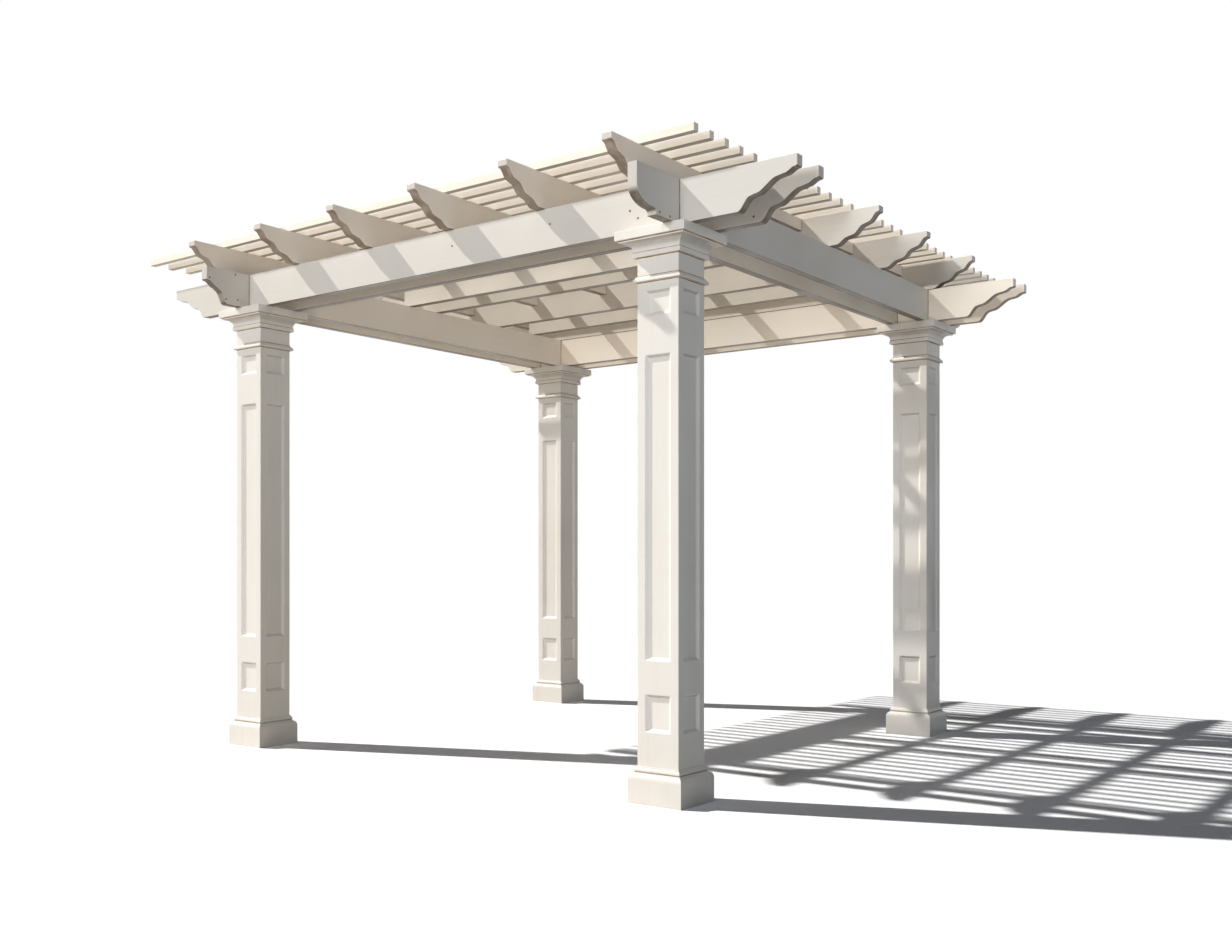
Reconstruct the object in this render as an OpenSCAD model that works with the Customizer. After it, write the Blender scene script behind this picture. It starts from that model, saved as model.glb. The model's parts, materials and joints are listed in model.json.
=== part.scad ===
// Free-standing garden pergola in painted timber. Four panelled square columns carry a ring of paired
// beam boards, scroll-tailed rafters laid both ways and let into each other where they cross, and slats.
// Millimetres. Origin on the ground at the centre of the plan, +X right, +Y back, +Z up.

/* [Plan] */
// Distance between column centres along the front
span_x = 2680; // [2200:10:4000]
// Distance between column centres from front to back
span_y = 2680; // [2200:10:4000]
// Height of the columns, from the ground to the seat of the beams
column_h = 2400; // [2200:10:3000]

/* [Column shafts] */
// Width of the square shaft
shaft_w = 204; // [170:1:260]
// Flat stile left at each side of a panel
stile_w = 39; // [25:1:55]
// Width of the bevelled reveal round a panel
reveal_w = 13; // [5:1:20]
// Depth of the panels below the face of the shaft
panel_depth = 12; // [4:1:20]
// Rail between the base and the low panel
foot_rail_h = 145; // [60:1:240]
// Height of the low panel
low_panel_h = 158; // [80:1:300]
// Rail between the low panel and the tall panel
low_rail_h = 142; // [60:1:240]
// Rail between the tall panel and the top panel
high_rail_h = 165; // [60:1:240]
// Height of the top panel
top_panel_h = 105; // [60:1:200]
// Rail between the top panel and the collar
head_rail_h = 37; // [20:1:120]

/* [Column bases] */
// Projection of the plinth past the shaft
plinth_out = 30.5; // [26:0.5:60]
// Height of the plinth's upright face
plinth_h = 100; // [40:1:200]
// Height of the plinth's rounded shoulder
shoulder_h = 25; // [8:1:40]
// Width of the plinth's rounded shoulder
shoulder_w = 16; // [4:0.5:18]
// Height of the fillet above the shoulder
base_fillet_h = 5; // [3:0.5:15]
// Height of the bead above the fillet
bead_h = 19; // [8:0.5:30]
// Bulge of the bead past the lip above it
bead_out = 7; // [3:0.5:8]
// Projection of the lip above the bead
base_lip_out = 4.5; // [2:0.5:6]
// Height of the lip above the bead
base_lip_h = 6; // [3:0.5:15]

/* [Collars] */
// Projection of the collar past the shaft
collar_out = 14.5; // [8:0.5:30]
// Height of the collar
collar_h = 25; // [16:1:40]
// Rounding below the collar's edge
collar_ease = 4; // [2:0.5:6]
// Height of the slope above the collar's edge
collar_slope_h = 14; // [6:0.5:18]
// Projection of the slope where it meets the neck
collar_top_out = 3; // [1:0.5:6]
// Plain neck between the collar and the capital
neck_h = 80; // [40:1:160]

/* [Capitals] */
// Projection of the lowest band of the capital
band_out = 16; // [8:0.5:20]
// Height of the lowest band
band_h = 20; // [10:1:40]
// Projection of the cove at its lower edge
cove_in = 12; // [6:0.5:16]
// Projection of the cove at its upper edge
cove_out = 48; // [32:1:52]
// Height of the cove
cove_h = 41; // [20:1:60]
// Projection of the fillet above the cove
fillet_out = 58; // [52:1:66]
// Height of the fillet above the cove
fillet_h = 8; // [4:1:16]
// Projection of the abacus, the square slab that carries the beams
abacus_out = 70.5; // [66:0.5:90]
// Height of the abacus
abacus_h = 39; // [25:1:60]

/* [Beams] */
// Thickness of a beam board
board_t = 45; // [30:1:60]
// Height of the beam boards
beam_h = 184; // [140:1:240]
// Column centre line to the outer face of each board of a pair
beam_reach = 115; // [80:1:140]
// Front and back beams past the column centres
beam_overhang = 645; // [480:5:800]
// Length of the scroll at the ends of the front and back beams
beam_scroll = 262; // [180:1:340]
// Height of the nose at the ends of the front and back beams
beam_nose = 41; // [20:1:80]
// Back beams past the left and right column centres
back_overhang = 600; // [400:5:700]
// Length of the right short tails, in line with the outer boards
stub_len = 310; // [180:5:400]
// Length of the scroll on the right short tails
stub_scroll = 138; // [80:1:170]
// Height of the nose on the right short tails
stub_nose = 92; // [30:1:110]
// Length of the left short tails, in line with the column centres
left_stub_len = 280; // [180:5:400]
// Length of the scroll on the left short tails
left_stub_scroll = 135; // [80:1:170]
// Height of the nose on the left short tails
left_stub_nose = 66; // [30:1:110]

/* [Rafters] */
// Number of rafters from front to back
rafter_count = 6; // [4:1:9]
// Thickness of the rafters, both ways
rafter_t = 50; // [35:1:70]
// Height of the rafters, both ways
rafter_h = 160; // [110:1:220]
// Height of the front-to-back rafters where they run through the cross rafters
rafter_mid_h = 60; // [40:1:80]
// Length of the curve that lifts the rafters' lower edge behind the front beam
rafter_lift = 90; // [40:1:160]
// Leftmost rafter outside the left column centres
rafter_left_out = 135; // [0:5:200]
// Rightmost rafter inside the right column centres
rafter_right_in = 65; // [0:5:200]
// Rafters past the front column centres
rafter_overhang = 378; // [300:1:520]
// Rafters past the back column centres
rafter_back_overhang = 775; // [300:5:900]
// Cross rafters past the left and right column centres
cross_overhang = 372; // [300:1:520]
// Length of the scroll at the rafter ends
rafter_scroll = 224; // [140:1:240]
// Height of the nose at the rafter ends
rafter_nose = 24; // [12:1:50]
// Side clearance where the rafters cross
lap_clear = 0.5; // [0.1:0.1:2]

/* [Slats] */
// Spaces between the first slat and the last
slat_spaces = 29; // [22:1:36]
// Side of the square slats
slat_w = 35; // [25:1:50]
// Slats past the leftmost rafter
slat_left_out = 675; // [100:5:800]
// Slats past the rightmost rafter
slat_right_out = 287; // [100:1:600]
// First slat in front of the front column centres
slat_front_out = 160; // [60:5:300]
// Last slat behind the back column centres
slat_back_out = 704; // [60:1:860]

/* [Hidden] */
PAINT = "#F1E9DE";
SHADE_PAINT = "#E9E0D4";
CORNERS = [["front_left", -1, -1], ["front_right", 1, -1], ["back_right", 1, 1], ["back_left", -1, 1]];
SIDES = [["front", -1], ["back", 1]];
HANDS = [["left", -1], ["right", 1]];
PAIR = [["outer", 1], ["inner", -1]];
SLAT_GROUPS = 4;
// The slats that lie over the cross rafters, counted from 0 at the front, with 1 for those that have tails
CROSS_SLATS = [[10, 0], [12, 1], [17, 1], [20, 0]];
// Points along each curved stretch of an outline
CURVE_STEPS = 8;
// How far a cutter runs past the face that it opens
cut_over = 2;

base_h = plinth_h + shoulder_h + base_fillet_h + bead_h + base_lip_h;
capital_h = band_h + cove_h + fillet_h + abacus_h;
shaft_h = column_h - abacus_h;
capital_z = column_h - capital_h;
collar_z = capital_z - neck_h - collar_h;
panel_w = shaft_w - 2 * stile_w;
low_panel_z = base_h + foot_rail_h;
tall_panel_z = low_panel_z + low_panel_h + low_rail_h;
top_panel_z = collar_z - head_rail_h - top_panel_h;
tall_panel_h = top_panel_z - high_rail_h - tall_panel_z;
PANELS = [[low_panel_z, low_panel_h], [tall_panel_z, tall_panel_h], [top_panel_z, top_panel_h]];

beam_z = column_h;
rafter_z = beam_z + beam_h;
slat_z = rafter_z + rafter_h;
rafter_under = rafter_h - rafter_mid_h;
board_offset = beam_reach - board_t / 2;
side_beam_len = span_y - 2 * beam_reach;

// The columns stand off the middle of the plan, because the roof reaches further on the left
left_reach = max(beam_overhang, back_overhang, cross_overhang, rafter_left_out + slat_left_out);
right_reach = max(beam_overhang, back_overhang, cross_overhang, slat_right_out - rafter_right_in);
plan_x = (left_reach - right_reach) / 2;

// They also stand in front of it, because the roof reaches further behind
stub_reach = beam_reach + max(stub_len, left_stub_len);
front_reach = max(rafter_overhang, stub_reach, slat_front_out + slat_w / 2);
back_reach = max(rafter_back_overhang, stub_reach, slat_back_out + slat_w / 2);
plan_y = (front_reach - back_reach) / 2;

rafter_first = plan_x - span_x / 2 - rafter_left_out;
rafter_last = plan_x + span_x / 2 - rafter_right_in;
rafter_pitch = (rafter_last - rafter_first) / (rafter_count - 1);
RAFTER_X = [for (i = [0 : rafter_count - 1]) rafter_first + i * rafter_pitch];

slat_pitch = (span_y + slat_front_out + slat_back_out) / slat_spaces;
slat_first = -span_y / 2 - slat_front_out;
slat_count = slat_spaces + 1;
slat_len = rafter_last + slat_right_out - (rafter_first - slat_left_out);
slat_mid = (rafter_last + slat_right_out + rafter_first - slat_left_out) / 2;
group_size = ceil(slat_count / SLAT_GROUPS);
// Each cross rafter lies under a slat, and the rearmost one on the inner board of the back beam
CROSS = concat([for (k = CROSS_SLATS) [slat_first + k[0] * slat_pitch, k[1]]],
    [[span_y / 2 - board_offset, 1]]);

// Scroll outlines as stretches: kind, share of the scroll's length, share of its rise
BEAM_WAVES = [["ogee", 0.22, 0.38], ["line", 0.07, 0.03], ["ogee", 0.41, 0.37], ["line", 0.09, 0.03],
    ["ogee", 0.17, 0.13], ["belly", 0.04, 0.06]];
RAFTER_WAVES = [["ogee", 0.26, 0.22], ["line", 0.12, 0.05], ["ogee", 0.26, 0.31], ["line", 0.11, 0.06],
    ["ogee", 0.21, 0.30], ["belly", 0.04, 0.06]];
STUB_WAVES = [["cove", 0.07, 0.25], ["line", 0.05, 0.01], ["belly", 0.88, 0.74]];
LEFT_STUB_WAVES = [["ogee", 0.37, 0.58], ["line", 0.14, 0.10], ["ogee", 0.39, 0.25], ["belly", 0.10, 0.07]];
// The short tails on each hand: place past the column centres, length, scroll, nose and outline
LEFT_TAIL = [0, left_stub_len, left_stub_scroll, left_stub_nose, LEFT_STUB_WAVES];
RIGHT_TAIL = [board_offset, stub_len, stub_scroll, stub_nose, STUB_WAVES];

// One stretch of an outline, as a share t of its run and rise
function wave_at(kind, t) =
    kind == "ogee" ? [t, (1 - cos(180 * t)) / 2] :
    kind == "belly" ? [sin(90 * t), 1 - cos(90 * t)] :
    kind == "cove" ? [1 - cos(90 * t), sin(90 * t)] :
    [t, t];

function wave_steps(kind) = kind == "line" ? 1 : CURVE_STEPS;

// The sum of one column of a list of stretches, up to but not including stretch i
function share_before(waves, i, column) =
    i == 0 ? 0 : waves[i - 1][column] + share_before(waves, i - 1, column);

// An outline from [0, 0] up to [run, rise] through the stretches in waves
function outline(waves, run, rise) = concat([[0, 0]], [
    for (i = [0 : len(waves) - 1])
        for (k = [1 : wave_steps(waves[i][0])])
            let (at = wave_at(waves[i][0], k / wave_steps(waves[i][0])))
                [run * (share_before(waves, i, 1) + waves[i][1] * at[0]),
                 rise * (share_before(waves, i, 2) + waves[i][2] * at[1])]
]);

function reversed(points) = [for (i = [len(points) - 1 : -1 : 0]) points[i]];

// A board on edge along X, standing on z = 0, with the same scroll at both ends
module scrolled_board(length, height, thickness, scroll, nose, waves) {
    tail = [for (p = outline(waves, scroll, height - nose)) [length / 2 - scroll + p[0], p[1]]];
    right = concat(tail, [[length / 2, height]]);
    left = [for (p = reversed(right)) [-p[0], p[1]]];
    rotate([90, 0, 0])
        linear_extrude(thickness, center = true)
            polygon(concat(right, left));
}

// A square moulding mitred at its corners: profile points are [projection past the shaft, height]
module square_moulding(profile) {
    half = [for (p = profile) [shaft_w / 2 + p[0], p[1]]];
    across = concat(half, [for (p = reversed(half)) [-p[0], p[1]]]);
    reach = 2 * max([for (p = half) p[0]]);
    intersection() {
        rotate([90, 0, 0])
            linear_extrude(reach, center = true)
                polygon(across);
        rotate([90, 0, 90])
            linear_extrude(reach, center = true)
                polygon(across);
    }
}

// The square way through a moulding for the shaft
module shaft_way(from, to) {
    translate([-shaft_w / 2, -shaft_w / 2, from])
        cube([shaft_w, shaft_w, to - from]);
}

module base() {
    plinth = [[plinth_out, 0], [plinth_out, plinth_h]];
    shoulder = [for (k = [1 : CURVE_STEPS])
        let (at = wave_at("cove", k / CURVE_STEPS))
            [plinth_out - shoulder_w * at[0], plinth_h + shoulder_h * at[1]]];
    bead_z = plinth_h + shoulder_h + base_fillet_h;
    fillet = [[plinth_out - shoulder_w, bead_z], [base_lip_out, bead_z]];
    bead = [for (k = [1 : 2 * CURVE_STEPS])
        [base_lip_out + bead_out * sin(90 * k / CURVE_STEPS),
         bead_z + bead_h * (1 - cos(90 * k / CURVE_STEPS)) / 2]];
    color(PAINT)
        difference() {
            square_moulding(concat(plinth, shoulder, fillet, bead, [[base_lip_out, base_h]]));
            shaft_way(-cut_over, base_h + cut_over);
        }
}

// One panel sunk into the front face of the shaft, with bevelled reveals on all four sides
module panel_cut(z, h) {
    depth_over = panel_depth + cut_over;
    spread = reveal_w * cut_over / panel_depth;
    face = -shaft_w / 2;
    translate([0, face, 0])
        intersection() {
            translate([0, 0, z - spread])
                linear_extrude(h + 2 * spread)
                    polygon([[-panel_w / 2 - spread, -cut_over], [panel_w / 2 + spread, -cut_over],
                        [panel_w / 2 - reveal_w, panel_depth], [-panel_w / 2 + reveal_w, panel_depth]]);
            rotate([90, 0, 90])
                linear_extrude(panel_w + 2 * spread, center = true)
                    polygon([[-cut_over, z - spread], [panel_depth, z + reveal_w],
                        [panel_depth, z + h - reveal_w], [-cut_over, z + h + spread]]);
        }
}

module shaft() {
    color(PAINT)
        difference() {
            shaft_way(0, shaft_h);
            for (turn = [0 : 90 : 270], p = PANELS)
                rotate([0, 0, turn])
                    panel_cut(p[0], p[1]);
        }
}

module collar() {
    under = [for (k = [0 : CURVE_STEPS])
        let (at = wave_at("belly", k / CURVE_STEPS))
            [collar_out - collar_ease + collar_ease * at[0], collar_ease * at[1]]];
    color(PAINT)
        difference() {
            square_moulding(concat(under, [[collar_out, collar_h - collar_slope_h],
                [collar_top_out, collar_h]]));
            shaft_way(-cut_over, collar_h + cut_over);
        }
}

module capital() {
    cove = [for (k = [0 : CURVE_STEPS])
        let (at = wave_at("cove", k / CURVE_STEPS))
            [cove_in + (cove_out - cove_in) * at[0], band_h + cove_h * at[1]]];
    fillet_z = band_h + cove_h;
    abacus_z = fillet_z + fillet_h;
    color(PAINT)
        difference() {
            square_moulding(concat([[band_out, 0], [band_out, band_h]], cove, [[fillet_out, fillet_z],
                [fillet_out, abacus_z], [abacus_out, abacus_z], [abacus_out, capital_h]]));
            shaft_way(-cut_over, abacus_z);
        }
}

// Places its children at the foot of one column
module at_corner(corner) {
    translate([plan_x + corner[1] * span_x / 2, plan_y + corner[2] * span_y / 2, 0])
        children();
}

// Front and back beam boards run through, with a scroll at both ends
module main_beam(side, pair) {
    overhang = side < 0 ? beam_overhang : back_overhang;
    color(PAINT)
        translate([plan_x, plan_y + side * (span_y / 2 + pair * board_offset), beam_z])
            scrolled_board(span_x + 2 * overhang, beam_h, board_t, beam_scroll, beam_nose, BEAM_WAVES);
}

// Left and right beam boards butt between the inner boards of the front and back beams
module side_beam(hand, pair) {
    color(SHADE_PAINT)
        translate([plan_x + hand * (span_x / 2 + pair * board_offset), plan_y, beam_z + beam_h / 2])
            cube([board_t, side_beam_len, beam_h], center = true);
}

// Short tails stand out from the front and back beams at the side beams
module beam_tail(corner) {
    tail = corner[1] < 0 ? LEFT_TAIL : RIGHT_TAIL;
    lower = [for (p = outline(tail[4], tail[2], beam_h - tail[3])) [tail[1] - tail[2] + p[0], p[1]]];
    color(PAINT)
        translate([plan_x + corner[1] * (span_x / 2 + tail[0]),
            plan_y + corner[2] * (span_y / 2 + beam_reach), beam_z])
            rotate([90, 0, corner[2] * 90])
                linear_extrude(board_t, center = true)
                    polygon(concat([[0, 0]], lower, [[tail[1], beam_h], [0, beam_h]]));
}

// A notch from above for a crossing rafter, centred on x = 0
module lap_notch() {
    notch_w = rafter_t + 2 * lap_clear;
    translate([-notch_w / 2, -rafter_t / 2 - cut_over, rafter_under])
        cube([notch_w, rafter_t + 2 * cut_over, rafter_mid_h + cut_over]);
}

// The space under the front-to-back rafters, from behind the front beam to the rearmost cross rafter
module rafter_underside() {
    from = -span_y / 2 + beam_reach;
    to = CROSS[len(CROSS) - 1][0] + rafter_t / 2 + lap_clear;
    lift = [for (p = outline([["ogee", 1, 1]], rafter_lift, rafter_under)) [from + p[0], p[1]]];
    rotate([90, 0, 0])
        linear_extrude(rafter_t + 2 * cut_over, center = true)
            polygon(concat([[from, -cut_over]], lift, [[to, rafter_under], [to, -cut_over]]));
}

// Rafters from front to back, full height over the beams and slimmer through the cross rafters
module rafter(x) {
    color(PAINT)
        translate([x, plan_y, rafter_z])
            rotate([0, 0, 90])
                difference() {
                    translate([(rafter_back_overhang - rafter_overhang) / 2, 0, 0])
                        scrolled_board(span_y + rafter_overhang + rafter_back_overhang, rafter_h, rafter_t,
                            rafter_scroll, rafter_nose, RAFTER_WAVES);
                    rafter_underside();
                }
}

// A cross rafter without tails, which ends on the inner boards of the side beams
module plain_cross_rafter() {
    length = span_x - 2 * beam_reach + 2 * board_t;
    translate([-length / 2, -rafter_t / 2, 0])
        cube([length, rafter_t, rafter_h]);
}

// Cross rafters from left to right, notched from above where the other rafters run through them
module cross_rafter(cross) {
    color(SHADE_PAINT)
        translate([plan_x, plan_y + cross[0], rafter_z])
            difference() {
                if (cross[1] > 0)
                    scrolled_board(span_x + 2 * cross_overhang, rafter_h, rafter_t, rafter_scroll,
                        rafter_nose, RAFTER_WAVES);
                else
                    plain_cross_rafter();
                for (x = RAFTER_X)
                    translate([x - plan_x, 0, 0])
                        lap_notch();
            }
}

// A run of neighbouring slats, laid square across the rafters
module slats(group) {
    last = min(slat_count, (group + 1) * group_size) - 1;
    color(PAINT)
        for (i = [group * group_size : last])
            translate([slat_mid - slat_len / 2, plan_y + slat_first + i * slat_pitch - slat_w / 2, slat_z])
                cube([slat_len, slat_w, slat_w]);
}

for (c = CORNERS) {
    at_corner(c) base();
    at_corner(c) shaft();
    at_corner(c) translate([0, 0, collar_z]) collar();
    at_corner(c) translate([0, 0, capital_z]) capital();
    beam_tail(c);
}
for (p = PAIR) {
    for (s = SIDES)
        main_beam(s[1], p[1]);
    for (h = HANDS)
        side_beam(h[1], p[1]);
}
for (i = [0 : rafter_count - 1])
    rafter(RAFTER_X[i]);
for (j = [0 : len(CROSS) - 1])
    cross_rafter(CROSS[j]);
for (g = [0 : SLAT_GROUPS - 1])
    slats(g);
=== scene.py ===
"""Looks of a free-standing garden pergola in painted timber: paint, eased edges, joint filler and fixings."""

import json
import logging
import math
from dataclasses import dataclass, field
from enum import Enum
from typing import Iterable, NamedTuple, Optional, Sequence

import bmesh
import bpy
from mathutils import Matrix, Vector

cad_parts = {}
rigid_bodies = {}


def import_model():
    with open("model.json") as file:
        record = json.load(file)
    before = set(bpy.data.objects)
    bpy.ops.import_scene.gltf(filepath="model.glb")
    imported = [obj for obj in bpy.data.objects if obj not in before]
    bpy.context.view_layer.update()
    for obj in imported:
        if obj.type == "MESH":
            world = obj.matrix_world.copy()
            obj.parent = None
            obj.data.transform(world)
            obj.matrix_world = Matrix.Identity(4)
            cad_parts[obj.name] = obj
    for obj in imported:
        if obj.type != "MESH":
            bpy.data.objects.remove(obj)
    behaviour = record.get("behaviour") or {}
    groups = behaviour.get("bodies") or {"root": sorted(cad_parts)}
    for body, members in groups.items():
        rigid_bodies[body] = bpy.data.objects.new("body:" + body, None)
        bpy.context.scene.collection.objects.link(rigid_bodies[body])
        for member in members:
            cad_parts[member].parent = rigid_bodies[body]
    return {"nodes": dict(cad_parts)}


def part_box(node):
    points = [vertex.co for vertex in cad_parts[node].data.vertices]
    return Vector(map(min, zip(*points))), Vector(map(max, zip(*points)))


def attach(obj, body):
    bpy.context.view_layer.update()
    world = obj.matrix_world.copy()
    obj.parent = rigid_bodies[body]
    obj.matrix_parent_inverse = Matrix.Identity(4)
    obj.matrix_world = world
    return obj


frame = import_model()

LOG = logging.getLogger("pergola")
BODY = "root"
MM = 0.001

Socket = bpy.types.NodeSocket
Loop = Sequence[tuple[float, float]]
Triple = tuple[float, float, float]


class Grain(Enum):
    """The way that a piece's wood grain runs, as the index of a frame axis."""

    X = 0
    Y = 1
    Z = 2


class Corner(Enum):
    """The four columns, as signs along X and Y."""

    FRONT_LEFT = (-1, -1)
    FRONT_RIGHT = (1, -1)
    BACK_RIGHT = (1, 1)
    BACK_LEFT = (-1, 1)

    @property
    def label(self) -> str:
        """The corner's name as the nodes spell it."""
        return self.name.lower()


@dataclass(frozen=True)
class Tint:
    """A colour, as linear red, green and blue."""

    red: float
    green: float
    blue: float

    @property
    def rgba(self) -> tuple[float, float, float, float]:
        """The colour with full opacity."""
        return (self.red, self.green, self.blue, 1.0)


class Ramp(NamedTuple):
    """A smooth step: the values that it runs between, and what it gives at each."""

    low: float
    high: float
    start: float = 0.0
    end: float = 1.0


class Noise(NamedTuple):
    """A noise pattern: cells a metre, and octaves of finer noise."""

    scale: float
    detail: float


class NodeTree:
    """An emptied node tree, with short ways to add nodes and join them."""

    def __init__(self, tree: bpy.types.NodeTree) -> None:
        """Takes over a node tree and clears it.

        Args:
            tree: The tree to fill.
        """
        self.tree = tree
        self.tree.nodes.clear()

    def add(self, kind: str, **settings: object) -> bpy.types.Node:
        """Adds one node.

        Args:
            kind: Blender's name for the node type.
            **settings: Attributes to set on the node.

        Returns:
            The new node.
        """
        node = self.tree.nodes.new(kind)
        for key, value in settings.items():
            setattr(node, key, value)
        return node

    def join(self, source: Socket, target: Socket) -> None:
        """Links one socket to another."""
        self.tree.links.new(source, target)

    def noise(self, place: Socket, noise: Noise, seed: Optional[Socket] = None) -> Socket:
        """Adds a noise texture.

        Args:
            place: The coordinates it reads.
            noise: The pattern.
            seed: A value that shifts the pattern from piece to piece.

        Returns:
            The noise value, from 0 to 1.
        """
        node = self.add("ShaderNodeTexNoise", noise_dimensions="4D" if seed else "3D")
        node.inputs["Scale"].default_value = noise.scale
        node.inputs["Detail"].default_value = noise.detail
        self.join(place, node.inputs["Vector"])
        if seed:
            self.join(seed, node.inputs["W"])
        return node.outputs["Fac"]

    def ramp(self, value: Socket, ramp: Ramp) -> Socket:
        """Maps a value smoothly from one range to another, and stops at its ends.

        Args:
            value: The value to map.
            ramp: The two ranges.

        Returns:
            The mapped value.
        """
        node = self.add("ShaderNodeMapRange", interpolation_type="SMOOTHSTEP")
        for name, number in zip(("From Min", "From Max", "To Min", "To Max"), ramp):
            node.inputs[name].default_value = number
        self.join(value, node.inputs["Value"])
        return node.outputs["Result"]

    def math(self, operation: str, first: Socket, second: Socket | float) -> Socket:
        """Adds one sum, product or other operation on two values.

        Args:
            operation: Blender's name for the operation.
            first: The first value.
            second: The second value, a socket or a number.

        Returns:
            The result.
        """
        node = self.add("ShaderNodeMath", operation=operation)
        self.join(first, node.inputs[0])
        if isinstance(second, (int, float)):
            node.inputs[1].default_value = second
        else:
            self.join(second, node.inputs[1])
        return node.outputs[0]

    def blend(self, amount: Socket, below: Socket | Tint, above: Socket | Tint) -> Socket:
        """Mixes two colours.

        Args:
            amount: How much of above shows, from 0 to 1.
            below: The colour at 0.
            above: The colour at 1.

        Returns:
            The mixed colour.
        """
        node = self.add("ShaderNodeMix", data_type="RGBA")
        self.join(amount, node.inputs["Factor"])
        for name, colour in (("A", below), ("B", above)):
            socket = next(s for s in node.inputs if s.name == name and s.type == "RGBA")
            if isinstance(colour, Tint):
                socket.default_value = colour.rgba
            else:
                self.join(colour, socket)
        return next(s for s in node.outputs if s.type == "RGBA")

    def stretch(self, place: Socket, scale: Sequence[float]) -> Socket:
        """Scales coordinates by a different amount along each axis.

        Args:
            place: The coordinates.
            scale: The amount along each axis.

        Returns:
            The scaled coordinates.
        """
        node = self.add("ShaderNodeMapping", vector_type="POINT")
        node.inputs["Scale"].default_value = scale
        self.join(place, node.inputs["Vector"])
        return node.outputs["Vector"]

    def seen(self) -> Socket:
        """Tells rays from the eye, straight or by way of gloss or glass, from all others.

        Returns:
            1 for a ray from the eye, and else 0.
        """
        rays = self.add("ShaderNodeLightPath").outputs
        straight = self.math("MAXIMUM", rays["Is Camera Ray"], rays["Is Glossy Ray"])
        return self.math("MAXIMUM", straight, rays["Is Transmission Ray"])

    def mix(self, amount: Socket, below: Socket, above: Socket, target: Socket) -> None:
        """Mixes two shaders into an output.

        Args:
            amount: How much of above shows, from 0 to 1.
            below: The shader at 0.
            above: The shader at 1.
            target: The output's socket.
        """
        node = self.add("ShaderNodeMixShader")
        self.join(amount, node.inputs["Fac"])
        self.join(below, node.inputs[1])
        self.join(above, node.inputs[2])
        self.join(node.outputs["Shader"], target)


class NodeSheet(NodeTree):
    """A new material's node tree, with an output and a principled shader."""

    def __init__(self, name: str) -> None:
        """Starts the material.

        Args:
            name: The material's name.
        """
        self.material = bpy.data.materials.new(name)
        self.material.use_nodes = True
        super().__init__(self.material.node_tree)
        self.output = self.add("ShaderNodeOutputMaterial")
        self.shader = self.add("ShaderNodeBsdfPrincipled")
        self.join(self.shader.outputs["BSDF"], self.output.inputs["Surface"])

    def roughen(self, height: Socket, depth: float, strength: float) -> None:
        """Gives the shader a bump.

        Args:
            height: The height, from 0 to 1.
            depth: The height of 1, in metres.
            strength: How strongly it shows.
        """
        node = self.add("ShaderNodeBump")
        node.inputs["Distance"].default_value = depth
        node.inputs["Strength"].default_value = strength
        self.join(height, node.inputs["Height"])
        self.join(node.outputs["Normal"], self.shader.inputs["Normal"])


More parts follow.
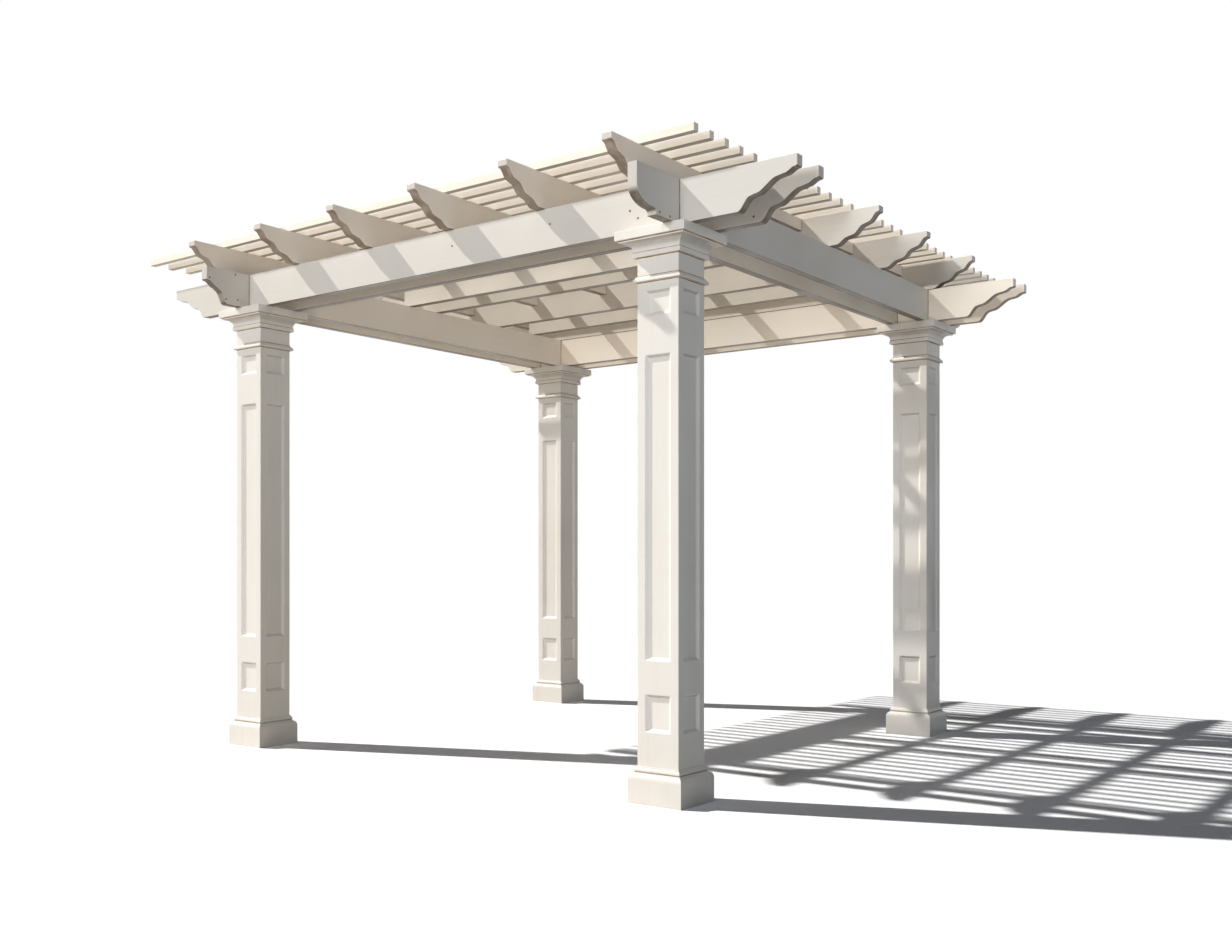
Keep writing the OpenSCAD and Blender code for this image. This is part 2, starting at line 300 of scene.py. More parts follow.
@dataclass(frozen=True)
class PaintFinish:
    """Satin paint brushed along the grain, thin in patches, tan in the joints with painted shade in inner corners,
    showing wood at the cut ends, and darkened with painted shade on faces that look down.
    """

    name: str
    grain: Grain
    paint: Tint
    thin: Tint = Tint(0.72, 0.63, 0.52)
    # Tan of the joints, also laid as painted shade in every inner corner.
    joint_tan: Tint = Tint(0.40, 0.23, 0.10)
    bare_wood: Tint = Tint(0.36, 0.24, 0.14)
    end_pale: Tint = Tint(0.64, 0.65, 0.67)
    end_dark: Tint = Tint(0.26, 0.24, 0.23)
    # Painted shade: the dark brown that faces looking down are darkened towards.
    under_wood: Tint = Tint(0.15, 0.108, 0.072)
    roughness: float = 0.42
    edge_wear: float = 0.0
    end_show: float = 0.0
    under_show: float = 0.0
    under_from: float = -0.15
    under_full: float = -0.65
    joint_reach: float = 0.014
    joint_samples: int = 8
    joint_closed: Ramp = Ramp(0.62, 0.22, 0.0, 0.75)
    joint_noise: Noise = Noise(9.0, 3.0)
    joint_uneven: Ramp = Ramp(0.30, 0.62, 0.25, 1.0)
    seed_spread: float = 37.0
    cells_across: float = 46.0
    cells_along: float = 1.6
    stroke_noise: Noise = Noise(1.0, 6.0)
    stroke_thin: Ramp = Ramp(0.52, 0.80, 0.0, 0.20)
    patch_noise: Noise = Noise(2.3, 3.0)
    patch_thin: Ramp = Ramp(0.42, 0.78, 0.0, 0.22)
    speck_noise: Noise = Noise(420.0, 2.0)
    under_noise: Noise = Noise(0.6, 4.0)
    under_worn: Ramp = Ramp(0.30, 0.62, 0.80, 1.0)
    end_noise: Noise = Noise(60.0, 4.0)
    end_facing: tuple[float, float] = (0.80, 0.94)
    wear_noise: Noise = Noise(17.0, 5.0)
    wear_from: tuple[float, float] = (0.55, 0.72)
    gloss_patches: tuple[float, float] = (0.3, 0.7)
    gloss_spread: tuple[float, float] = (-0.06, 0.10)
    stroke_height: float = 0.8
    speck_height: float = 0.12
    bump_depth: float = 0.9 * MM
    bump_strength: float = 0.45
    specular: float = 0.4

    def build(self) -> bpy.types.Material:
        """Makes the material.

        Returns:
            The finished material.
        """
        sheet = NodeSheet(self.name)
        coords = sheet.add("ShaderNodeTexCoord")
        place = coords.outputs["Object"]
        seed = sheet.math("MULTIPLY", sheet.add("ShaderNodeObjectInfo").outputs["Random"], self.seed_spread)
        cells = [self.cells_across] * 3
        cells[self.grain.value] = self.cells_along
        strokes = sheet.noise(sheet.stretch(place, cells), self.stroke_noise, seed)
        patches = sheet.noise(place, self.patch_noise, seed)
        specks = sheet.noise(place, self.speck_noise)
        colour = sheet.blend(sheet.ramp(patches, self.patch_thin), self.paint, self.thin)
        colour = sheet.blend(sheet.ramp(strokes, self.stroke_thin), colour, self.thin)
        # Tan in the joints, found by ambient occlusion, so it is also painted shade in every inner corner.
        colour = sheet.blend(self._joint_tan_amount(sheet, place), colour, self.joint_tan)
        facing = sheet.add("ShaderNodeSeparateXYZ")
        sheet.join(coords.outputs["Normal"], facing.inputs["Vector"])
        # Painted shade: faces that look down are darkened, unevenly, towards a dark brown.
        if self.under_show:
            downward_shade = sheet.ramp(facing.outputs["Z"], Ramp(self.under_from, self.under_full, 0.0, self.under_show))
            shade_patches = sheet.ramp(sheet.noise(sheet.stretch(place, cells), self.under_noise, seed), self.under_worn)
            colour = sheet.blend(sheet.math("MULTIPLY", downward_shade, shade_patches), colour, self.under_wood)
        if self.end_show:
            ends = sheet.blend(sheet.noise(place, self.end_noise, seed), self.end_dark, self.end_pale)
            cut = sheet.math("ABSOLUTE", facing.outputs[self.grain.value], 0.0)
            colour = sheet.blend(sheet.ramp(cut, Ramp(*self.end_facing, 0.0, self.end_show)), colour, ends)
        if self.edge_wear:
            rubbed = sheet.ramp(sheet.noise(place, self.wear_noise, seed), Ramp(*self.wear_from, 0.0, self.edge_wear))
            colour = sheet.blend(rubbed, colour, self.bare_wood)
        sheet.join(colour, sheet.shader.inputs["Base Color"])
        glossy, matt = (self.roughness + more for more in self.gloss_spread)
        sheet.join(sheet.ramp(patches, Ramp(*self.gloss_patches, glossy, matt)), sheet.shader.inputs["Roughness"])
        height = sheet.math("ADD", sheet.math("MULTIPLY", strokes, self.stroke_height),
                            sheet.math("MULTIPLY", specks, self.speck_height))
        sheet.roughen(height, self.bump_depth, self.bump_strength)
        sheet.shader.inputs["Specular IOR Level"].default_value = self.specular
        return sheet.material

    def _joint_tan_amount(self, sheet: NodeSheet, place: Socket) -> Socket:
        """Finds inner corners by ambient occlusion, uneven along their length: tan joints, and painted shade wherever
        faces close in.

        Args:
            sheet: The material's nodes.
            place: The coordinates of the unevenness.

        Returns:
            How much tan goes on the paint, as joint colour and painted shade, from 0 to 1.
        """
        corner = sheet.add("ShaderNodeAmbientOcclusion", samples=self.joint_samples, only_local=False)
        corner.inputs["Distance"].default_value = self.joint_reach
        closed = sheet.ramp(corner.outputs["AO"], self.joint_closed)
        return sheet.math("MULTIPLY", closed, sheet.ramp(sheet.noise(place, self.joint_noise), self.joint_uneven))


@dataclass(frozen=True)
class FillerFinish:
    """Joint filler that has tanned and picked up dust."""

    name: str
    filler: Tint
    dust: Tint
    roughness: float = 0.7
    grime_noise: Noise = Noise(14.0, 4.0)
    grime_shows: Ramp = Ramp(0.35, 0.7)
    gloss_grime: tuple[float, float] = (0.2, 0.8)
    gloss_spread: tuple[float, float] = (-0.1, 0.15)
    grit_noise: Noise = Noise(240.0, 3.0)
    grit_depth: float = 0.5 * MM
    grit_strength: float = 0.4

    def build(self) -> bpy.types.Material:
        """Makes the material.

        Returns:
            The finished material.
        """
        sheet = NodeSheet(self.name)
        place = sheet.add("ShaderNodeTexCoord").outputs["Object"]
        grime = sheet.noise(place, self.grime_noise)
        colour = sheet.blend(sheet.ramp(grime, self.grime_shows), self.filler, self.dust)
        sheet.join(colour, sheet.shader.inputs["Base Color"])
        glossy, matt = (self.roughness + more for more in self.gloss_spread)
        sheet.join(sheet.ramp(grime, Ramp(*self.gloss_grime, glossy, matt)), sheet.shader.inputs["Roughness"])
        sheet.roughen(sheet.noise(place, self.grit_noise), self.grit_depth, self.grit_strength)
        return sheet.material


@dataclass(frozen=True)
class ScrewFinish:
    """Dull bronzed steel with rust."""

    name: str
    steel: Tint = Tint(0.10, 0.075, 0.055)
    rust: Tint = Tint(0.22, 0.10, 0.04)
    rust_noise: Noise = Noise(130.0, 4.0)
    rust_shows: Ramp = Ramp(0.4, 0.65)
    rust_gloss: Ramp = Ramp(0.0, 1.0, 0.45, 0.85)
    pit_noise: Noise = Noise(900.0, 2.0)
    pit_depth: float = 0.2 * MM
    pit_strength: float = 0.3
    metallic: float = 0.6

    def build(self) -> bpy.types.Material:
        """Makes the material.

        Returns:
            The finished material.
        """
        sheet = NodeSheet(self.name)
        place = sheet.add("ShaderNodeTexCoord").outputs["Object"]
        rusted = sheet.ramp(sheet.noise(place, self.rust_noise), self.rust_shows)
        sheet.join(sheet.blend(rusted, self.steel, self.rust), sheet.shader.inputs["Base Color"])
        sheet.join(sheet.ramp(rusted, self.rust_gloss), sheet.shader.inputs["Roughness"])
        sheet.roughen(sheet.noise(place, self.pit_noise), self.pit_depth, self.pit_strength)
        sheet.shader.inputs["Metallic"].default_value = self.metallic
        return sheet.material


# One cream in four copies, lighter or darker by part to stand in for light: painted light on the columns, painted
# shade on the beams, and the rafters and slats in between.
COLUMN_CREAM_LIT = Tint(0.945, 0.908, 0.860)
BEAM_CREAM_SHADED = Tint(0.805, 0.770, 0.724)
RAFTER_CREAM = Tint(0.870, 0.815, 0.748)
SLAT_CREAM = Tint(0.890, 0.838, 0.770)
FILLER = FillerFinish("joint_filler", Tint(0.50, 0.32, 0.15), Tint(0.24, 0.14, 0.06))
STAIN = FillerFinish("rust_stain", Tint(0.55, 0.42, 0.28), Tint(0.36, 0.24, 0.13), 0.6)
SCREW = ScrewFinish("screw_steel")


@dataclass
class PaintShop:
    """All finishes, each made once and kept by name."""

    edge_wear: float = 0.16
    made: dict[str, bpy.types.Material] = field(default_factory=dict)

    def get(self, finish: PaintFinish | FillerFinish | ScrewFinish) -> bpy.types.Material:
        """Makes a finish's material, or gives the one already made.

        Args:
            finish: The finish that is wanted.

        Returns:
            Its material.
        """
        if finish.name not in self.made:
            self.made[finish.name] = finish.build()
        return self.made[finish.name]

    def paint(self, kind: str, grain: Grain, colour: Tint, end_show: float = 0.0,
              under_show: float = 0.0) -> bpy.types.Material:
        """The paint on a piece's faces, with how much wood shows at its cut ends and how much painted shade darkens
        its downward faces.
        """
        return self.get(PaintFinish(f"{kind}_paint_{grain.name.lower()}", grain, colour, end_show=end_show,
                                    under_show=under_show))

    def rubbed(self, kind: str, grain: Grain, colour: Tint, under_show: float = 0.0) -> bpy.types.Material:
        """The thinner paint on a piece's eased edges."""
        return self.get(PaintFinish(f"{kind}_edge_{grain.name.lower()}", grain, colour, edge_wear=self.edge_wear,
                                    under_show=under_show))

    def filler(self) -> bpy.types.Material:
        """The tanned filler in the joints."""
        return self.get(FILLER)

    def fixing(self) -> list[bpy.types.Material]:
        """The heads of the screws and nails, and the rust stain round them."""
        return [self.get(SCREW), self.get(STAIN)]


@dataclass
class EasedEdges:
    """Rounds the arrises of a CAD piece with modifiers, and leaves its mesh as it is."""

    width: float
    segments: int = 2
    sharp_angle: float = math.radians(28)
    join_flats: bool = True
    weld_reach: float = 0.02 * MM
    flat_angle: float = math.radians(0.4)
    normal_weight: int = 80

    def apply(self, piece: bpy.types.Object, paint: bpy.types.Material, edge: bpy.types.Material) -> None:
        """Adds the modifiers and the two materials.

        Args:
            piece: The CAD node's object.
            paint: The material of its faces.
            edge: The material of its rounded edges.
        """
        piece.data.materials.clear()
        piece.data.materials.append(paint)
        piece.data.materials.append(edge)
        weld = piece.modifiers.new("weld", "WELD")
        weld.merge_threshold = self.weld_reach
        if self.join_flats:
            flat = piece.modifiers.new("flat_faces", "DECIMATE")
            flat.decimate_type = "DISSOLVE"
            flat.angle_limit = self.flat_angle
        ease = piece.modifiers.new("eased_edges", "BEVEL")
        ease.width = self.width
        ease.segments = self.segments
        ease.limit_method = "ANGLE"
        ease.angle_limit = self.sharp_angle
        ease.miter_outer = "MITER_ARC"
        ease.use_clamp_overlap = True
        ease.loop_slide = self.join_flats
        ease.material = 1
        smooth = piece.modifiers.new("even_normals", "WEIGHTED_NORMAL")
        smooth.keep_sharp = False
        smooth.weight = self.normal_weight


def dress(nodes: Iterable[str], edges: EasedEdges, paint: bpy.types.Material, edge: bpy.types.Material) -> None:
    """Gives CAD nodes their eased edges and paint.

    Args:
        nodes: The names of the nodes.
        edges: How their edges are rounded.
        paint: The material of their faces.
        edge: The material of their rounded edges.
    """
    for name in nodes:
        edges.apply(frame["nodes"][name], paint, edge)
        LOG.info("dressed %s", name)


def add_piece(name: str, mesh: bmesh.types.BMesh, materials: Sequence[bpy.types.Material]) -> bpy.types.Object:
    """Turns a built mesh into a piece that goes with the pergola.

    Args:
        name: The piece's name.
        mesh: Its faces, which are freed here.
        materials: Its materials, in the order of their indices.

    Returns:
        The new object.
    """
    bmesh.ops.recalc_face_normals(mesh, faces=mesh.faces)
    data = bpy.data.meshes.new(name)
    mesh.to_mesh(data)
    mesh.free()
    piece = bpy.data.objects.new(name, data)
    bpy.context.scene.collection.objects.link(piece)
    for material in materials:
        data.materials.append(material)
    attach(piece, BODY)
    LOG.info("added %s with %d faces", name, len(data.polygons))
    return piece


def square_bead(mesh: bmesh.types.BMesh, middle: Vector, loop: Loop) -> None:
    """Adds a mitred square ring.

    Args:
        mesh: The mesh to add it to.
        middle: A point on the ring's upright axis.
        loop: The section as a closed loop of half width and height, in metres.
    """
    turns = ((1, 1), (-1, 1), (-1, -1), (1, -1))
    rings = [[mesh.verts.new((middle.x + sx * half, middle.y + sy * half, height)) for half, height in loop]
             for sx, sy in turns]
    for first, second in zip(rings, rings[1:] + rings[:1]):
        for i in range(len(loop)):
            j = (i + 1) % len(loop)
            mesh.faces.new((first[i], first[j], second[j], second[i]))


@dataclass
class FixingHead:
    """A screw head that sits a little proud, in a ring of rust stain."""

    radius: float = 3.6 * MM
    proud: float = 0.9 * MM
    stain_radius: float = 6.0 * MM
    stain_proud: float = 0.25 * MM
    stain_shares: Loop = ((1.0, 0.0), (0.92, 1.0))
    head_shares: Loop = ((1.0, 0.0), (1.0, 0.6), (0.8, 1.0), (0.3, 1.0), (0.22, 0.4))
    sides: int = 14

    def add(self, mesh: bmesh.types.BMesh, centre: Vector, outward: Vector) -> None:
        """Adds one head and its stain.

        Args:
            mesh: The mesh to add them to.
            centre: Where the screw meets the face.
            outward: The way that the face looks.
        """
        turn = outward.to_track_quat("Z", "Y").to_matrix().to_4x4()
        place = Matrix.Translation(centre) @ turn
        stain = [(self.stain_radius * wide, self.stain_proud * up) for wide, up in self.stain_shares]
        head = [(self.radius * wide, self.proud * up) for wide, up in self.head_shares]
        self._disc(mesh, place, stain, 1)
        self._disc(mesh, place, head, 0)

    def _disc(self, mesh: bmesh.types.BMesh, place: Matrix, steps: Loop, material: int) -> None:
        """Adds a closed round stack of rings.

        Args:
            mesh: The mesh to add it to.
            place: Where it stands and which way it looks.
            steps: The rings' radii and heights.
            material: The index of its material.
        """
        rings = []
        for radius, height in steps:
            angles = (2 * math.pi * k / self.sides for k in range(self.sides))
            rings.append([mesh.verts.new(place @ Vector((radius * math.cos(a), radius * math.sin(a), height)))
                          for a in angles])
        faces = [mesh.faces.new(list(reversed(rings[0]))), mesh.faces.new(rings[-1])]
        for low, high in zip(rings, rings[1:]):
            for k in range(self.sides):
                n = (k + 1) % self.sides
                faces.append(mesh.faces.new((low[k], low[n], high[n], high[k])))
        for face in faces:
            face.material_index = material


@dataclass
class Column:
    """One panelled column: base, shaft, collar and capital, with filler in its joints."""

    corner: Corner
    shop: PaintShop
    bead: float = 3.2 * MM
    bead_slope: float = 0.45
    # Painted shade on the column's downward faces, such as the capital's cove.
    under_show: float = 0.45
    edges: tuple[tuple[str, float], ...] = (("base", 0.5 * MM), ("shaft", 2.2 * MM), ("collar", 0.5 * MM),
                                            ("capital", 1.5 * MM))
    capital_steps: tuple[tuple[float, float, int], ...] = ((0.020, 0.012, 1), (0.069, 0.058, -1))

    def node(self, piece: str) -> str:
        """The name of one of the column's nodes."""
        return f"{self.corner.label}_{piece}"

    def dress(self) -> None:
        """Paints the column's four pieces."""
        paint = self.shop.paint("column", Grain.Z, COLUMN_CREAM_LIT, under_show=self.under_show)
        edge = self.shop.rubbed("column", Grain.Z, COLUMN_CREAM_LIT)
        for piece, width in self.edges:
            dress([self.node(piece)], EasedEdges(width, join_flats=False), paint, edge)

    def fill_joints(self) -> bpy.types.Object:
        """Runs beads of filler round the column where its mouldings meet the shaft.

        Returns:
            The beads, as one piece.
        """
        low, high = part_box(self.node("shaft"))
        middle = (low + high) / 2
        half = (high.x - low.x) / 2
        mesh = bmesh.new()
        for height, out, way in self._joints():
            side = half + out
            slope = self.bead * self.bead_slope
            square_bead(mesh, middle, [(side, height), (side + self.bead, height),
                                       (side + slope, height + way * slope), (side, height + way * self.bead)])
        return add_piece(f"joint_filler_{self.corner.label}", mesh, [self.shop.filler()])

    def _joints(self) -> list[tuple[float, float, int]]:
        """The joints: height, distance past the shaft's face, and 1 for a bead above or -1 for one below."""
        collar_low, collar_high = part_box(self.node("collar"))
        capital_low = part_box(self.node("capital"))[0].z
        on_shaft = [(collar_low.z, 0.0, -1), (collar_high.z, 0.0, 1), (capital_low, 0.0, -1)]
        return on_shaft + [(capital_low + up, out, way) for up, out, way in self.capital_steps]


@dataclass
class BeamRing:
    """The paired beam boards and the short tails that stand out in front and behind."""

    shop: PaintShop
    edge: float = 2.5 * MM
    head: FixingHead = field(default_factory=FixingHead)
    right_screws: tuple[tuple[float, float], ...] = ((0.072, 0.014), (0.147, 0.016))
    inner_nail: tuple[float, float] = (0.290, 0.028)
    left_screws: tuple[tuple[float, float], ...] = ((0.093, 0.170), (0.078, 0.034), (0.156, 0.026), (0.262, 0.125))
    face_nails: tuple[tuple[float, float], ...] = ((0.191, 0.107), (0.780, 0.112), (1.209, 0.095), (1.250, 0.058))
    seam: float = 3.0 * MM
    end_show: float = 0.2
    # Painted shade on the boards' undersides, at full strength.
    under_show: float = 1.0

    def dress(self) -> None:
        """Paints the boards and the tails."""
        along, back = ((self.shop.paint("beam", grain, BEAM_CREAM_SHADED, self.end_show, self.under_show),
                        self.shop.rubbed("beam", grain, BEAM_CREAM_SHADED, self.under_show)) for grain in (Grain.X, Grain.Y))
        main = [f"{side}_{board}_beam" for side in ("front", "back") for board in ("outer", "inner")]
        sides = [f"{hand}_{board}_beam" for hand in ("left", "right") for board in ("outer", "inner")]
        tails = [f"{corner.label}_beam_tail" for corner in Corner]
        dress(main, EasedEdges(self.edge), *along)
        dress(sides + tails, EasedEdges(self.edge), *back)

    def screw_tails(self) -> bpy.types.Object:
        """Puts the screws into both faces of the short tails.

        Returns:
            The heads, as one piece.
        """
        mesh = bmesh.new()
        for corner in Corner:
            low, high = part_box(f"{corner.label}_beam_tail")
            seat = low.y if corner.value[1] > 0 else high.y
            for out, up in self.left_screws if corner.value[0] < 0 else self.right_screws:
                y = seat + corner.value[1] * out
                self.head.add(mesh, Vector((low.x, y, low.z + up)), Vector((-1, 0, 0)))
                self.head.add(mesh, Vector((high.x, y, low.z + up)), Vector((1, 0, 0)))
        return add_piece("tail_screws", mesh, self.shop.fixing())

    def fill_seams(self) -> bpy.types.Object:
        """Runs upright seams of filler where the short tails and the side boards butt against other boards.

        Returns:
            The seams, as one piece.
        """
        mesh = bmesh.new()
        for corner in Corner:
            low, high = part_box(f"{corner.label}_beam_tail")
            seat = low.y if corner.value[1] > 0 else high.y
            for x, way in ((low.x, -1), (high.x, 1)):
                self._seam(mesh, (x, seat), (way, corner.value[1]), (low.z, high.z))
        for hand in ("left", "right"):
            for board in ("outer", "inner"):
                low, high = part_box(f"{hand}_{board}_beam")
                for y, inward in ((low.y, 1), (high.y, -1)):
                    for x, way in ((low.x, -1), (high.x, 1)):
                        self._seam(mesh, (x, y), (way, inward), (low.z, high.z))
        return add_piece("board_seams", mesh, [self.shop.filler()])

    def _seam(self, mesh: bmesh.types.BMesh, corner: tuple[float, float], ways: tuple[int, int],
              heights: tuple[float, float]) -> None:
        """Adds one upright seam.

        Args:
            mesh: The mesh to add it to.
            corner: Where the two boards' faces meet, in plan.
            ways: The signs of the seam's two sides along X and Y.
            heights: Its foot and its top.
        """
        x, y = corner
        section = [(x, y), (x + ways[0] * self.seam, y), (x, y + ways[1] * self.seam)]
        foot, top = ([mesh.verts.new((px, py, height)) for px, py in section] for height in heights)
        mesh.faces.new(foot)
        mesh.faces.new(top)
        for i in range(3):
            j = (i + 1) % 3
            mesh.faces.new((foot[i], foot[j], top[j], top[i]))

    def nail_boards(self) -> bpy.types.Object:
        """Puts the few nails that show into the faces of the front and back beams.

        Returns:
            The heads, as one piece.
        """
        mesh = bmesh.new()
        for side, way in (("front", -1), ("back", 1)):
            low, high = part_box(f"{side}_outer_beam")
            face = low.y if way < 0 else high.y
            middle = (low.x + high.x) / 2
            for x, up in self.face_nails:
                self.head.add(mesh, Vector((middle - way * x, face, low.z + up)), Vector((0, way, 0)))
            low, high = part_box(f"{side}_inner_beam")
            face = low.y if way < 0 else high.y
            end = high.x if way < 0 else low.x
            out, up = self.inner_nail
            self.head.add(mesh, Vector((end + way * out, face, low.z + up)), Vector((0, way, 0)))
        return add_piece("beam_nails", mesh, self.shop.fixing())


@dataclass
class RafterGrid:
    """The rafters and the cross rafters that they run through."""

    shop: PaintShop
    rafter_count: int = 6
    cross_count: int = 5
    edge: float = 2.2 * MM
    end_show: float = 0.6
    # Painted shade on the rafters' undersides.
    under_show: float = 0.95

    def rafters(self) -> list[str]:
        """The names of the rafters, left to right."""
        return [f"rafter_{i + 1}" for i in range(self.rafter_count)]

    def cross_rafters(self) -> list[str]:
        """The names of the cross rafters, front to back."""
        return [f"cross_rafter_{i + 1}" for i in range(self.cross_count)]

    def middles(self) -> list[float]:
        """Where the rafters lie along X."""
        boxes = [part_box(name) for name in self.rafters()]
        return [(low.x + high.x) / 2 for low, high in boxes]

    def dress(self) -> None:
        """Paints the rafters both ways."""
        edges = EasedEdges(self.edge)
        for names, grain in ((self.rafters(), Grain.Y), (self.cross_rafters(), Grain.X)):
            dress(names, edges, self.shop.paint("rafter", grain, RAFTER_CREAM, self.end_show, self.under_show),
                  self.shop.rubbed("rafter", grain, RAFTER_CREAM, self.under_show))


@dataclass
class SlatLayer:
    """The square slats across the rafters, nailed down at every crossing."""

    shop: PaintShop
    groups: int = 4
    edge: float = 1.6 * MM
    end_show: float = 0.25
    # Painted shade on the slats' undersides.
    under_show: float = 0.6
    digits: int = 5
    head: FixingHead = field(default_factory=lambda: FixingHead(radius=3.0 * MM, stain_radius=5.0 * MM, sides=8))

    def names(self) -> list[str]:
        """The names of the runs of slats."""
        return [f"slats_{i + 1}" for i in range(self.groups)]

    def dress(self) -> None:
        """Paints the slats, with bare ends."""
        dress(self.names(), EasedEdges(self.edge),
              self.shop.paint("slat", Grain.X, SLAT_CREAM, self.end_show, self.under_show),
              self.shop.rubbed("slat", Grain.X, SLAT_CREAM, self.under_show))

    def middles(self) -> list[float]:
        """Finds the slats from their vertices.

        Returns:
            Where the slats lie along Y, front to back.
        """
        lines: set[float] = set()
        for name in self.names():
            lines.update(round(v.co.y, self.digits) for v in frame["nodes"][name].data.vertices)
        ordered = sorted(lines)
        return [(low + high) / 2 for low, high in zip(ordered[::2], ordered[1::2])]

    def nail_down(self, rafter_middles: Sequence[float]) -> bpy.types.Object:
        """Puts a nail through each slat into each rafter.

        Args:
            rafter_middles: Where the rafters lie along X.

        Returns:
            The heads, as one piece.
        """
        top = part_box(self.names()[0])[1].z
        mesh = bmesh.new()
        for y in self.middles():
            for x in rafter_middles:
                self.head.add(mesh, Vector((x, y, top)), Vector((0, 0, 1)))
        return add_piece("slat_nails", mesh, self.shop.fixing())


@dataclass(frozen=True)
class Lamp:
    """A distant lamp.

    The level is what a white face square to the lamp would send back, from 0 up, and the spread is how wide the
    lamp looks from the ground, in radians.
    """

    name: str
    way: Triple
    level: float
    colour: Triple = (0.975, 0.988, 1.0)
    spread: float = math.radians(16)

    def add(self) -> bpy.types.Object:
        """Hangs the lamp in the scene.

        Returns:
            The lamp.
        """
        data = bpy.data.lights.new(self.name, "SUN")
        data.energy = self.level * math.pi
        data.angle = self.spread
        data.color = self.colour
        lamp = bpy.data.objects.new(self.name, data)
        lamp.rotation_euler = Vector(self.way).to_track_quat("-Z", "Y").to_euler()
        bpy.context.scene.collection.objects.link(lamp)
        return lamp


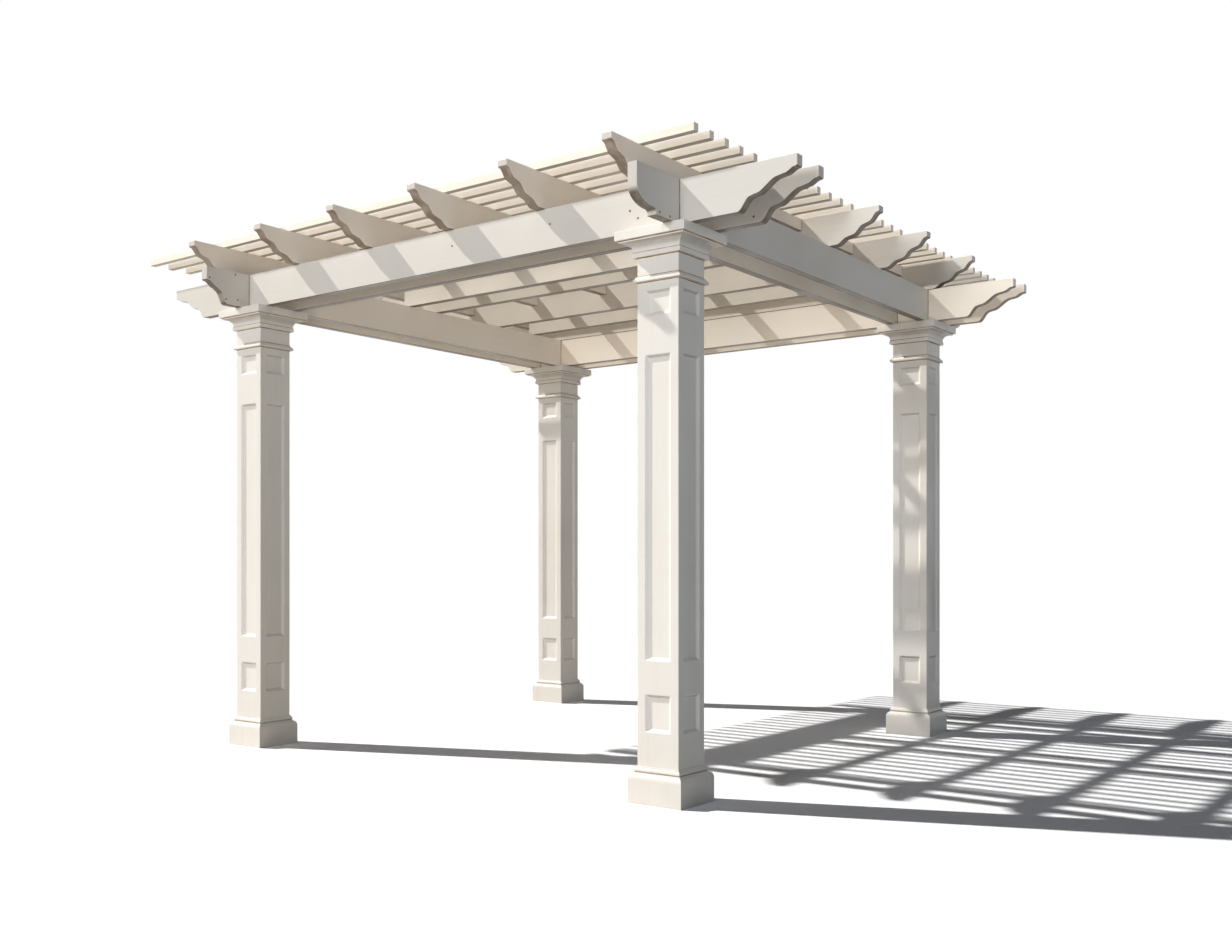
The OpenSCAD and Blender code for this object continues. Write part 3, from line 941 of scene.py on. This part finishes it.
@dataclass
class Studio:
    """The floor, the light and the camera."""

    floor_half: float = 40.0
    floor_drop: float = 0.5 * MM
    fade_from: float = 6.5
    fade_to: float = 11.0
    lamps: tuple[Lamp, ...] = (Lamp("sun", (0.645, 0.260, -0.718), 1.09, (1.0, 0.966, 0.895), math.radians(0.9)),
                               Lamp("high_fill", (0.0, 0.992, -0.12), 0.26),
                               Lamp("low_fill", (0.0, 0.998, -0.06), 0.155),
                               Lamp("cool_fill", (-0.90, 0.43, -0.06), 0.075, (0.70, 0.86, 1.0)))
    glow: Lamp = Lamp("ground_glow", (-0.43, 0.86, 0.28), 0.30, (1.0, 0.84, 0.66))
    glow_on: tuple[str, ...] = ("rafter", "slat", "left_", "back_inner", "back_outer")
    sky: Tint = Tint(0.026, 0.028, 0.032)
    white: Tint = Tint(1.0, 1.0, 1.0)
    floor_seen: Tint = Tint(1.26, 1.29, 1.37)
    floor_warm: Tint = Tint(0.57, 0.53, 0.475)
    floor_cool: Tint = Tint(0.46, 0.48, 0.51)
    cool_from: float = 1.3
    cool_to: float = 1.9
    eye: Triple = (4.2722, -5.9715, 1.0249)
    heading: float = math.radians(38.529)
    photo_width: float = 1232.0
    photo_height: float = 928.0
    focal_pixels: float = 1244.30
    axis_pixel: tuple[float, float] = (541.65, 559.22)
    film_width: float = 36.0

    def build(self) -> None:
        """Makes everything round the pergola."""
        bpy.context.scene.view_settings.view_transform = "Standard"
        self._floor()
        for lamp in self.lamps:
            lamp.add()
        glow = self.glow.add()
        glow.light_linking.receiver_collection = self._pieces("lit_from_below", self.glow_on)
        glow.light_linking.blocker_collection = self._pieces("whole_pergola", ("",))
        self._world()
        self._camera()

    def _pieces(self, name: str, starts: tuple[str, ...]) -> bpy.types.Collection:
        """Collects pieces of the pergola, without the floor.

        Args:
            name: The name of the collection.
            starts: How the names of its pieces start.

        Returns:
            The collection.
        """
        pieces = bpy.data.collections.new(name)
        for piece in bpy.context.scene.objects:
            if piece.type == "MESH" and piece.name != "floor" and piece.name.startswith(starts):
                pieces.objects.link(piece)
        return pieces

    def _floor(self) -> None:
        """Lays a pale floor that fades to white away from the pergola and keeps its shadow."""
        mesh = bmesh.new()
        half = self.floor_half
        corners = [mesh.verts.new((sx * half, sy * half, -self.floor_drop))
                   for sx, sy in ((-1, -1), (1, -1), (1, 1), (-1, 1))]
        mesh.faces.new(corners)
        data = bpy.data.meshes.new("floor")
        mesh.to_mesh(data)
        mesh.free()
        floor = bpy.data.objects.new("floor", data)
        bpy.context.scene.collection.objects.link(floor)
        data.materials.append(self._floor_finish())

    def _floor_finish(self) -> bpy.types.Material:
        """Makes a floor that the eye sees as white, and that sends less light back up to the pergola.

        Returns:
            The floor's material.
        """
        sheet = NodeSheet("floor_white")
        seen = sheet.seen()
        place = sheet.add("ShaderNodeNewGeometry").outputs["Position"]
        parts = sheet.add("ShaderNodeSeparateXYZ")
        sheet.join(place, parts.inputs["Vector"])
        beside = sheet.ramp(parts.outputs["X"], Ramp(self.cool_from, self.cool_to))
        bounce = sheet.blend(beside, self.floor_warm, self.floor_cool)
        matt = sheet.add("ShaderNodeBsdfDiffuse")
        sheet.join(sheet.blend(seen, bounce, self.floor_seen), matt.inputs["Color"])
        length = sheet.add("ShaderNodeVectorMath", operation="LENGTH")
        sheet.join(place, length.inputs[0])
        far = sheet.ramp(length.outputs["Value"], Ramp(self.fade_from, self.fade_to))
        white = sheet.add("ShaderNodeEmission")
        sheet.mix(sheet.math("MULTIPLY", far, seen), matt.outputs["BSDF"], white.outputs["Emission"],
                  sheet.output.inputs["Surface"])
        sheet.tree.nodes.remove(sheet.shader)
        return sheet.material

    def _world(self) -> None:
        """Gives the pergola a faint even sky, and the eye a white background."""
        world = bpy.data.worlds.new("sky")
        bpy.context.scene.world = world
        world.use_nodes = True
        sheet = NodeTree(world.node_tree)
        output = sheet.add("ShaderNodeOutputWorld")
        sky, white = (sheet.add("ShaderNodeBackground") for _ in range(2))
        sky.inputs["Color"].default_value = self.sky.rgba
        white.inputs["Color"].default_value = self.white.rgba
        sheet.mix(sheet.seen(), sky.outputs["Background"], white.outputs["Background"], output.inputs["Surface"])

    def _camera(self) -> None:
        """Stands the camera where the photograph was taken from."""
        data = bpy.data.cameras.new("eye")
        data.sensor_width = self.film_width
        data.lens = self.film_width * self.focal_pixels / self.photo_width
        data.shift_x = (self.photo_width / 2 - self.axis_pixel[0]) / self.photo_width
        data.shift_y = (self.axis_pixel[1] - self.photo_height / 2) / self.photo_width
        camera = bpy.data.objects.new("eye", data)
        camera.location = self.eye
        camera.rotation_euler = (math.pi / 2, 0.0, self.heading)
        bpy.context.scene.collection.objects.link(camera)
        bpy.context.scene.camera = camera


def write_sizes() -> None:
    """Brings the view layer up to date.
    """
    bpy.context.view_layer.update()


def main() -> None:
    """Dresses the pergola from the ground up, then lights it."""
    logging.basicConfig(level=logging.INFO, format="%(name)s: %(message)s")
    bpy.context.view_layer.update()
    shop = PaintShop()
    for corner in Corner:
        column = Column(corner, shop)
        column.dress()
        column.fill_joints()
    grid = RafterGrid(shop)
    grid.dress()
    ring = BeamRing(shop)
    ring.dress()
    ring.screw_tails()
    ring.fill_seams()
    ring.nail_boards()
    slats = SlatLayer(shop)
    slats.dress()
    slats.nail_down(grid.middles())
    Studio().build()
    write_sizes()


if __name__ == "__main__":
    main()
